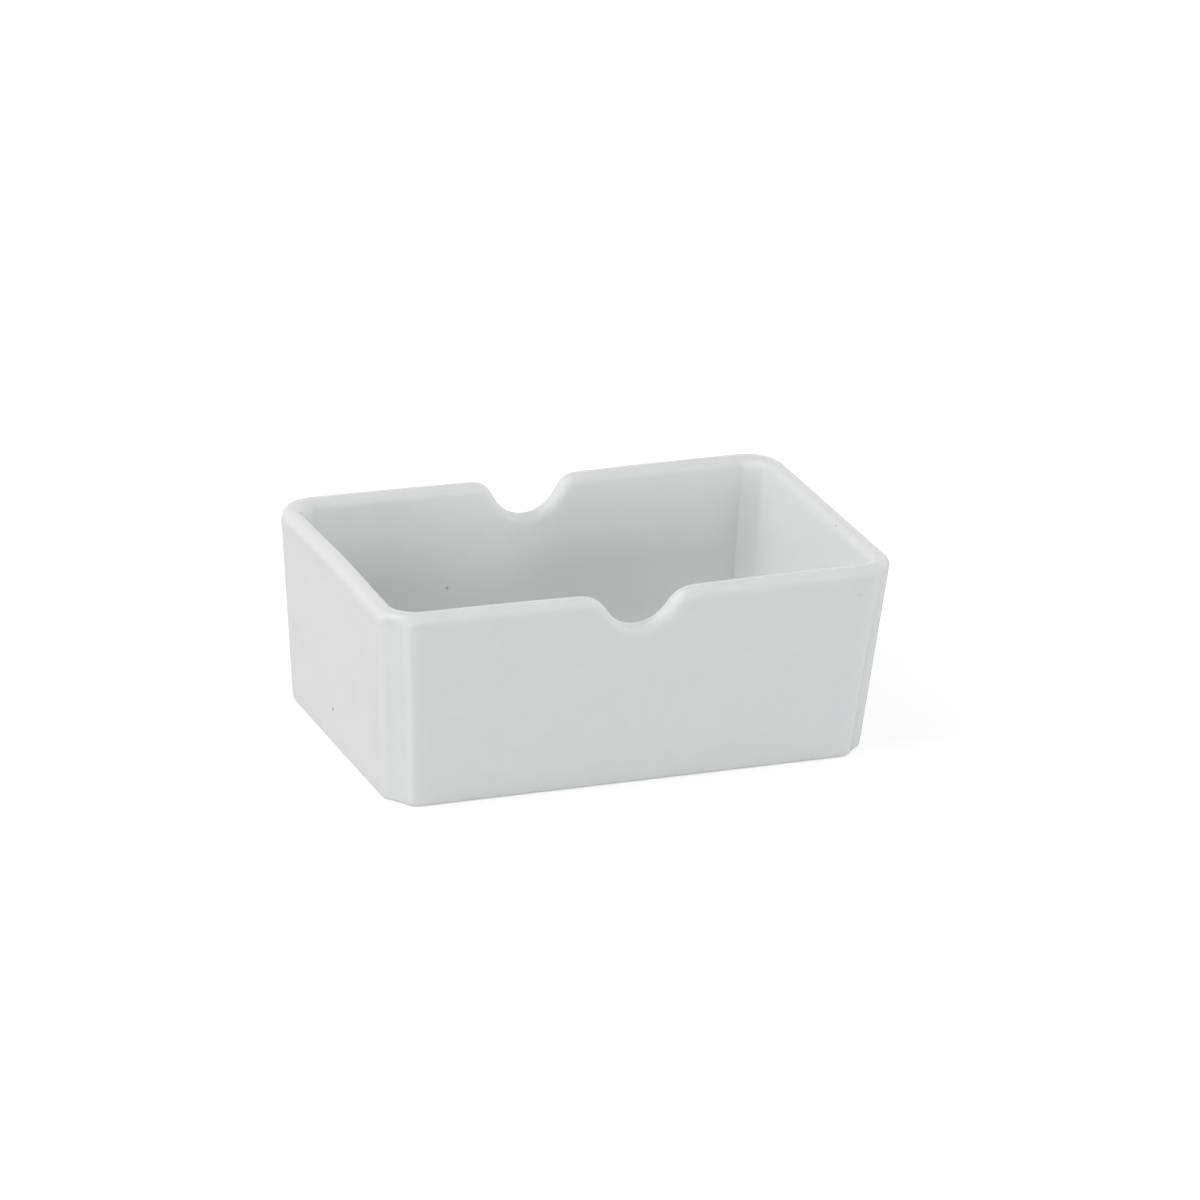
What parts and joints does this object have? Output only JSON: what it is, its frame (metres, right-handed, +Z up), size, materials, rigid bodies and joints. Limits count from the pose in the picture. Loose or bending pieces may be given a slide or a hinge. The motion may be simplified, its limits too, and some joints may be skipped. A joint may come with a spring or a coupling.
{
  "type": "sugar packet holder",
  "caption": "Open rectangular glazed porcelain box with leaning walls, hollow-cut corners and a half-round finger notch in each long wall, for holding sugar packets on a table.",
  "frame": {"origin": "middle of the foot, at table height", "axes": "+X along the long walls, +Y from the front notched wall to the rear one, +Z up"},
  "size_m": [0.112, 0.0682, 0.0426],
  "materials": {
    "white_glaze": "glossy clear glaze over white porcelain, bare on the foot ring"
  },
  "bodies": {
    "root": {"holder_body": "white_glaze"}
  },
  "joints": []
}
